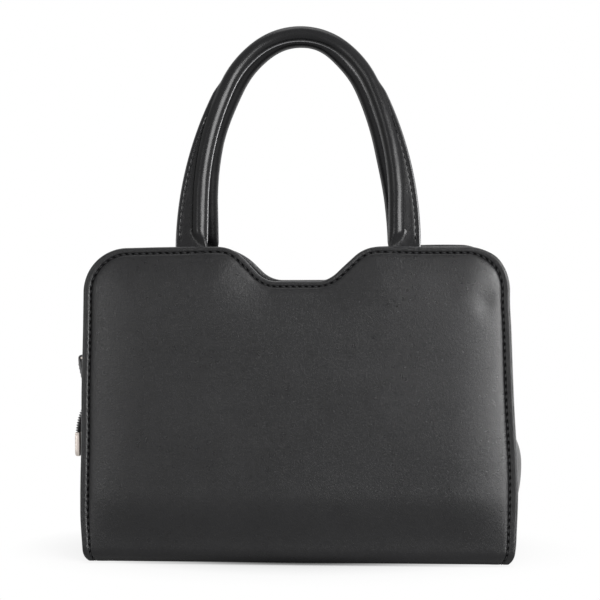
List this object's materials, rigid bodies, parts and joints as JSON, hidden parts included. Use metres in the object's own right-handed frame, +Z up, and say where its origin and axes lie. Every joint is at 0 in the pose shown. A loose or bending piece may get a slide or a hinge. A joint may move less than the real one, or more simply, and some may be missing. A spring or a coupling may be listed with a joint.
{
  "type": "top handle bag",
  "caption": "Structured leather top handle bag with rolled handles, a dipped mouth, a zip that runs down both sides, swelled side gussets and a metal-capped zip end.",
  "frame": {"origin": "middle of the underside, on the surface the bag stands on", "axes": "+Z up; -Y out of the front panel, the side in the picture; +X to the right in the picture"},
  "size_m": [0.2672, 0.1122, 0.3131],
  "materials": {
    "leather": "smooth, fine grain, low sheen",
    "lining": "woven, matt",
    "board": "fibreboard, matt",
    "zip_tape": "woven, matt",
    "zip_teeth": "moulded, satin",
    "metal": "pale champagne nickel, satin"
  },
  "bodies": {
    "base": {"base_panel": "leather", "base_board": "board", "base_lining": "lining", "left_gusset": "leather", "right_gusset": "leather", "zip_end_tab": "leather"},
    "front_side": {"front_panel": "leather", "front_board": "board", "front_lining": "lining", "front_zip_gusset": "leather", "front_zip_tape": "zip_tape", "front_zip_teeth": "zip_teeth", "front_handle_ends": "leather"},
    "rear_side": {"rear_panel": "leather", "rear_board": "board", "rear_lining": "lining", "rear_zip_gusset": "leather", "rear_zip_tape": "zip_tape", "rear_zip_teeth": "zip_teeth", "rear_handle_ends": "leather", "slip_pocket": "lining"},
    "front_handle": {"front_handle_leather": "leather"},
    "rear_handle": {"rear_handle_leather": "leather"},
    "slider": {"zip_slider": "metal"},
    "puller": {"pull_ring": "metal", "pull_tab": "leather"},
    "zip_end": {"tail_tape": "zip_tape", "tail_teeth": "zip_teeth", "tail_end_cap": "metal"}
  },
  "joints": [
    {"name": "front_open", "type": "hinge", "parent": "base", "child": "front_side", "pos_m": [0, -0.05428, 0.00866], "axis": [1, 0, 0], "range_deg": [0, 12]},
    {"name": "rear_open", "type": "hinge", "parent": "base", "child": "rear_side", "pos_m": [0, 0.05428, 0.00866], "axis": [-1, 0, 0], "range_deg": [0, 12]},
    {"name": "front_handle_fold", "type": "hinge", "parent": "front_side", "child": "front_handle", "pos_m": [0, -0.03779, 0.1827], "axis": [1, 0, 0], "range_deg": [-2.5, 90]},
    {"name": "rear_handle_fold", "type": "hinge", "parent": "rear_side", "child": "rear_handle", "pos_m": [0, 0.03779, 0.1827], "axis": [-1, 0, 0], "range_deg": [-2.5, 90]},
    {"name": "zip_travel", "type": "slide", "parent": "rear_side", "child": "slider", "axis": [0, 0, 1], "range_m": [0, 0.038]},
    {"name": "puller_swing", "type": "hinge", "parent": "slider", "child": "puller", "pos_m": [-0.12388, 0, 0.11506], "axis": [0, 1, 0], "range_deg": [0, 97]},
    {"name": "zip_end_lift", "type": "hinge", "parent": "base", "child": "zip_end", "pos_m": [-0.1206, 0, 0.096], "axis": [0, 1, 0], "range_deg": [0, 32]}
  ]
}
